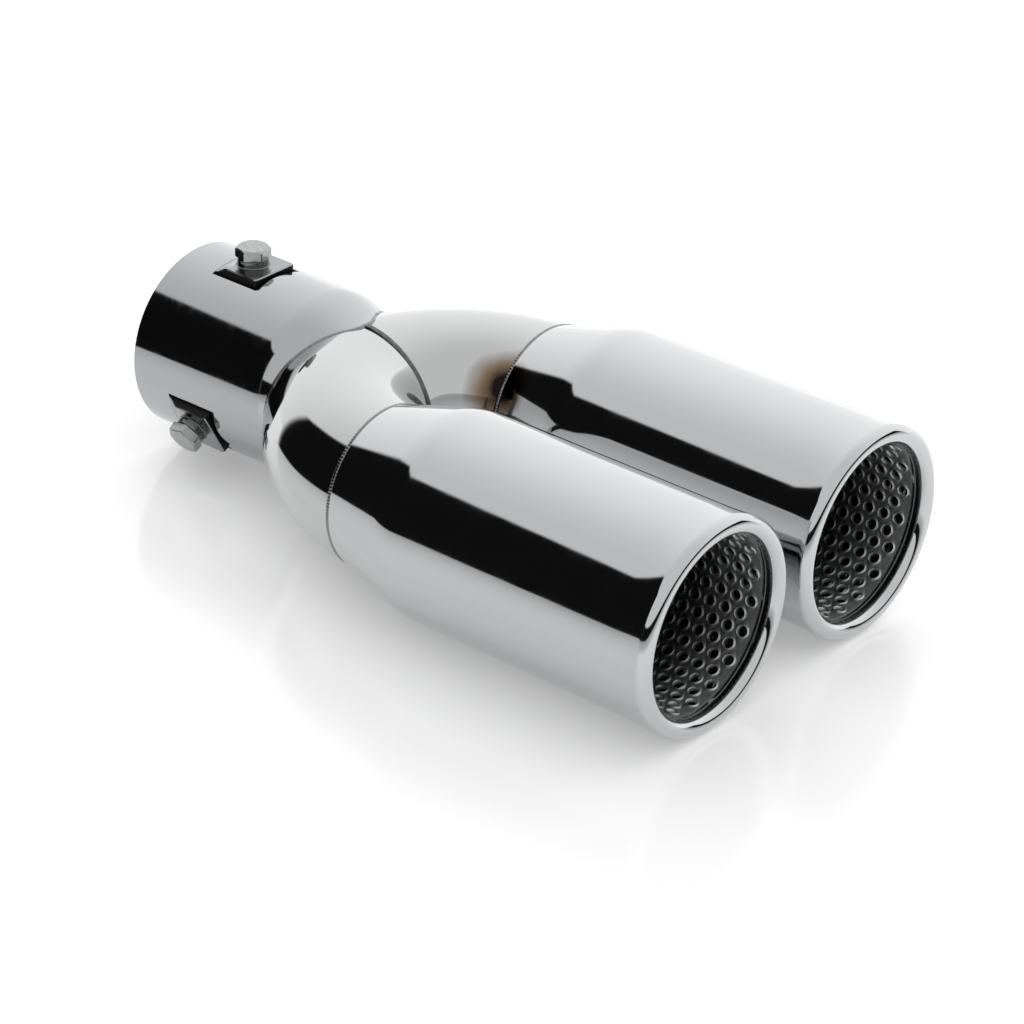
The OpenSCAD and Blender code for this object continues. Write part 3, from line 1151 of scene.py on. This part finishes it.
@dataclass
class PhotoCamera:
    """The photograph's viewpoint, fitted to the measured circles."""

    azimuth_deg: float = 39.07
    elevation_deg: float = 28.49
    roll_deg: float = 2.02
    distance: float = 1207.65
    target: tuple[float, float, float] = (145.58, 0.0, -18.63)
    focal_px: float = 3582.4
    picture_px: float = 1024.0
    sensor_mm: float = 36.0
    clip_end_m: float = 50.0

    def build(self) -> None:
        """Makes the scene's camera."""
        a, e, r = np.radians([self.azimuth_deg, self.elevation_deg, self.roll_deg])
        back = np.array([np.sin(a) * np.cos(e), -np.cos(a) * np.cos(e), np.sin(e)])
        level = np.array([np.cos(a), np.sin(a), 0.0])
        rise = np.cross(back, level)
        right = np.cos(r) * level + np.sin(r) * rise
        up = np.cos(r) * rise - np.sin(r) * level
        place = (np.array(self.target) + back * self.distance) * MM
        data = bpy.data.cameras.new("photo_camera")
        data.sensor_width = self.sensor_mm
        data.lens = self.focal_px * self.sensor_mm / self.picture_px
        data.clip_end = self.clip_end_m
        camera = bpy.data.objects.new("photo_camera", data)
        stance = np.eye(4)
        stance[:3] = np.stack([right, up, back, place], -1)
        camera.matrix_world = Matrix(stance.tolist())
        bpy.context.scene.collection.objects.link(camera)
        bpy.context.scene.camera = camera


@dataclass
class Studio:
    """White floor under a bright dome, with one black flat on the camera's left, as the steel reflects it."""

    floor_z: float = -37.35
    floor_half: float = 4000.0
    cut: tuple[float, float] = (-170.0, -60.0)
    floor_roughness: float = 0.12
    table_glow: float = 0.22
    roof_elevation_deg: float = 41.0
    roof_soft_deg: float = 1.0
    flat_azimuth_deg: float = 247.0
    flat_soft: tuple[float, float] = (-0.01, 0.02)
    corner: tuple[float, float, float] = (0.237, 0.763, 0.603)
    corner_soft: tuple[float, float] = (-0.02, 0.03)
    behind_soft: tuple[float, float] = (-0.06, 0.02)
    strip_elevation_deg: float = 12.0
    strip_soft_deg: float = 0.5
    bright_azimuth_deg: float = 110.0
    bright_soft: tuple[float, float] = (-0.2, 1.0)
    overhead: float = 0.9
    gain: float = 0.45
    black: float = 0.0075

    def floor(self) -> None:
        """Makes the pale floor, without the corner on the camera's left that the black flat stands on."""
        h, (x, y) = self.floor_half, self.cut
        plan = np.array([[x, -h], [h, -h], [h, y], [x, y], [h, h], [-h, h], [-h, y]])
        points = np.column_stack([plan, np.full(len(plan), self.floor_z)])
        floor = make_mesh("studio_floor", points, np.array([[0, 1, 2, 3], [6, 2, 4, 5]]))
        material = bpy.data.materials.new("white_acrylic")
        material.use_nodes = True
        inputs = material.node_tree.nodes["Principled BSDF"].inputs
        inputs["Base Color"].default_value = linear("FAFAFA")
        inputs["Roughness"].default_value = self.floor_roughness
        inputs["Emission Color"].default_value = linear("FFFFFF")
        inputs["Emission Strength"].default_value = self.table_glow
        floor.data.materials.append(material)

    def toward(self, way: bpy.types.NodeSocket, course: tuple[float, float, float],
               soft: tuple[float, float]) -> bpy.types.NodeSocket:
        """How far a direction leans to a course.

        Args:
            way: The direction.
            course: The unit vector to compare with.
            soft: Cosines where the share is none and where it is full.

        Returns:
            The share.
        """
        tree = way.id_data
        lean = add(tree, "ShaderNodeVectorMath", {"operation": "DOT_PRODUCT", 1: course}, {0: way})
        settings = {"From Min": soft[0], "From Max": soft[1], "interpolation_type": "SMOOTHSTEP"}
        return add(tree, "ShaderNodeMapRange", settings, {"Value": lean.outputs["Value"]}).outputs["Result"]

    def above(self, way: bpy.types.NodeSocket, elevation_deg: float, soft_deg: float) -> bpy.types.NodeSocket:
        """Whether a direction looks over an elevation, softly within soft_deg either way."""
        low, high = np.sin(np.radians([elevation_deg - soft_deg, elevation_deg + soft_deg]))
        return self.toward(way, (0.0, 0.0, 1.0), (low, high))

    def sky(self) -> None:
        """Lights the scene from a dome that is brightest behind the tip, with the black flat cut out of it.

        A direction is lit where it leans past the flat's side, over its roof line, over its cut corner, or
        behind the tip. The light is the overhead value plus a gain that grows with the lean to the bright
        side, and a thin strip over the floor's far edge stays dark in front of the mouths.
        """
        world = bpy.data.worlds.new("studio")
        bpy.context.scene.world = world
        world.use_nodes = True
        tree = world.node_tree
        background = tree.nodes["Background"]
        way = add(tree, "ShaderNodeTexCoord").outputs["Generated"]
        side = np.radians(self.flat_azimuth_deg)
        right = self.toward(way, (-np.sin(side), np.cos(side), 0.0), self.flat_soft)
        lit = maths(tree, "MAXIMUM", right, self.above(way, self.roof_elevation_deg, self.roof_soft_deg))
        lit = maths(tree, "MAXIMUM", lit, self.toward(way, self.corner, self.corner_soft))
        lit = maths(tree, "MAXIMUM", lit, self.toward(way, (0.0, 1.0, 0.0), self.behind_soft))
        over_strip = self.above(way, self.strip_elevation_deg, self.strip_soft_deg)
        open_way = maths(tree, "SUBTRACT", 1.0, right)
        lit = maths(tree, "MULTIPLY", lit, maths(tree, "MAXIMUM", over_strip, open_way))
        bright = np.radians(self.bright_azimuth_deg)
        lean = self.toward(way, (np.cos(bright), np.sin(bright), 0.0), self.bright_soft)
        glow = maths(tree, "MULTIPLY_ADD", lean, self.gain, self.overhead)
        tone = add(tree, "ShaderNodeMapRange", {"To Min": self.black}, {"Value": lit, "To Max": glow})
        background.inputs["Color"].default_value = linear("FFFFFF")
        tree.links.new(tone.outputs["Result"], background.inputs["Strength"])

    def build(self) -> None:
        """Makes the floor and the light."""
        self.floor()
        self.sky()
        bpy.context.scene.view_settings.view_transform = "Standard"


@dataclass
class SaddleWeld:
    """The seam between the branches, which stays as the CAD has it."""

    node: str = "saddle_weld"

    def build(self) -> None:
        """Gives the seam its finish."""
        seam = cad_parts[self.node]
        seam.data.materials.clear()
        seam.data.materials.append(Metal.SADDLE.material)


def main() -> None:
    """Builds the tip, its stage and its camera."""
    logging.basicConfig(level=logging.INFO, format="%(message)s")
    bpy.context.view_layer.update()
    PhotoCamera().build()
    Studio().build()
    SaddleWeld().build()
    sleeve = InletSleeve()
    sleeve.build()
    sleeve.bead()
    for side in Side:
        Barrel(side).build()
        Branch(side).build()
        NeckWeld(side).build()
        Liner(side).build()
    for name, turn_deg, spin_deg in (("top", 0.0, -16.0), ("right", 120.0, 12.0), ("left", 240.0, 34.0)):
        Tongue(name, turn_deg).build()
        clamp = ClampBolt(name, turn_deg, spin_deg)
        clamp.bolt()
        clamp.nut()


if __name__ == "__main__":
    main()
